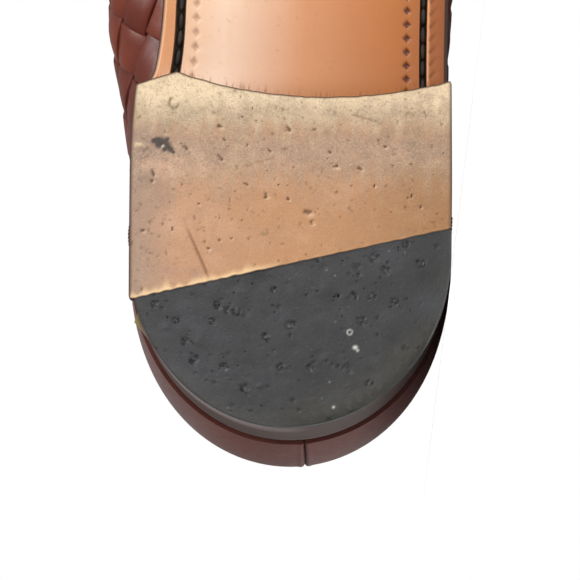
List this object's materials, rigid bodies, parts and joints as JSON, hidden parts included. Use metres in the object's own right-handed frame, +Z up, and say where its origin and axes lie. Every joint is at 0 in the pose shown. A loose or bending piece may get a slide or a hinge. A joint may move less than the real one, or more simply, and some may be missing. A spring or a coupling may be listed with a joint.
{
  "type": "woven tassel loafer",
  "caption": "Left woven-leather tassel loafer lying on its outer side: hollow woven upper, smooth counter and collar, leather sole and stacked heel with a rubber tip.",
  "frame": {"origin": "on the floor under the middle of the bounding box of the shoe as it lies on its outer side", "axes": "+Y from heel to toe, +Z up from the floor to the shoe's inner side, +X the way the sole faces"},
  "size_m": [0.0922, 0.301, 0.106],
  "materials": {
    "sole_leather": "polished tan",
    "heel_leather": "inked and waxed brown",
    "top_lift_leather": "worn, dull tan",
    "rubber": "semi-matte charcoal",
    "insole_leather": "smooth tan",
    "woven_leather": "polished chestnut brown",
    "smooth_leather": "polished chestnut brown",
    "lace_leather": "polished chestnut brown"
  },
  "bodies": {
    "root": {"outsole": "sole_leather", "heel_stack": "heel_leather", "heel_top_lift": "top_lift_leather", "heel_rubber_tip": "rubber", "insole": "insole_leather", "upper": "woven_leather", "heel_counter": "smooth_leather", "collar_trim": "smooth_leather", "lace_bar_inner": "lace_leather", "lace_bar_outer": "lace_leather", "lace_knot": "lace_leather", "lace_end_inner": "lace_leather", "lace_end_outer": "lace_leather", "tassel_inner": "lace_leather", "tassel_outer": "lace_leather"}
  },
  "joints": []
}
